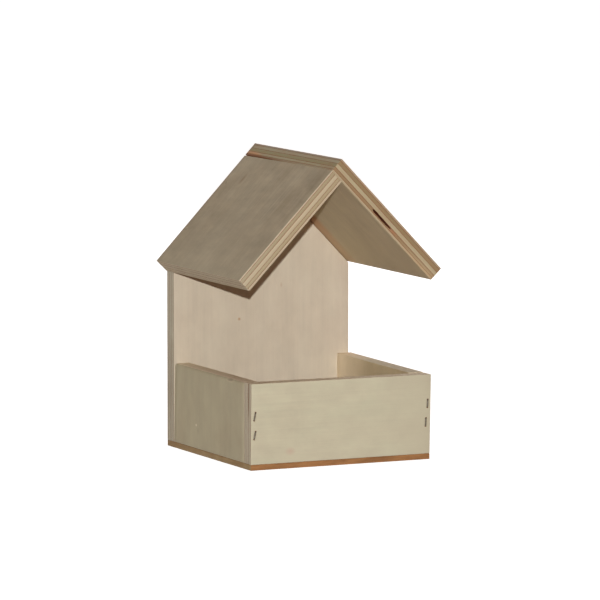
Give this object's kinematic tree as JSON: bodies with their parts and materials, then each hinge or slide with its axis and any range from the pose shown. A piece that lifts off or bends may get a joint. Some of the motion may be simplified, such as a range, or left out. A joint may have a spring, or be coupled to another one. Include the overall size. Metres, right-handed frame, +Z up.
{
  "type": "open-fronted bird house feeder",
  "caption": "Small open-fronted plywood bird house: gabled back panel, low seed tray on a hardboard floor, and two lapped sloping roof boards.",
  "frame": {"origin": "middle of the floor board's underside, on the surface the feeder stands on", "axes": "+Z up, +Y towards the back panel, +X to the right when looking at the open front"},
  "size_m": [0.1686, 0.158, 0.2332],
  "materials": {
    "back_plywood": "bare sanded plywood, warm pale veneer",
    "tray_plywood": "bare sanded plywood, pale straw veneer",
    "roof_plywood": "bare sanded plywood, greyish brown veneer with layered edges",
    "hardboard": "bare reddish brown hardboard, fuzzy sawn edges",
    "staple_wire": "dull flat steel wire"
  },
  "bodies": {
    "root": {"floor_board": "hardboard", "back_panel": "back_plywood", "left_side": "tray_plywood", "right_side": "tray_plywood", "front_panel": "tray_plywood", "roof_left": "roof_plywood", "roof_right": "roof_plywood", "front_staples_left": "staple_wire", "front_staples_right": "staple_wire", "back_staples_left": "staple_wire", "back_staples_right": "staple_wire", "floor_staples_left": "staple_wire", "floor_staples_right": "staple_wire", "floor_staples_front": "staple_wire", "floor_staples_back": "staple_wire", "roof_brads_left": "staple_wire", "roof_brads_right": "staple_wire", "ridge_brads": "staple_wire"}
  },
  "joints": []
}
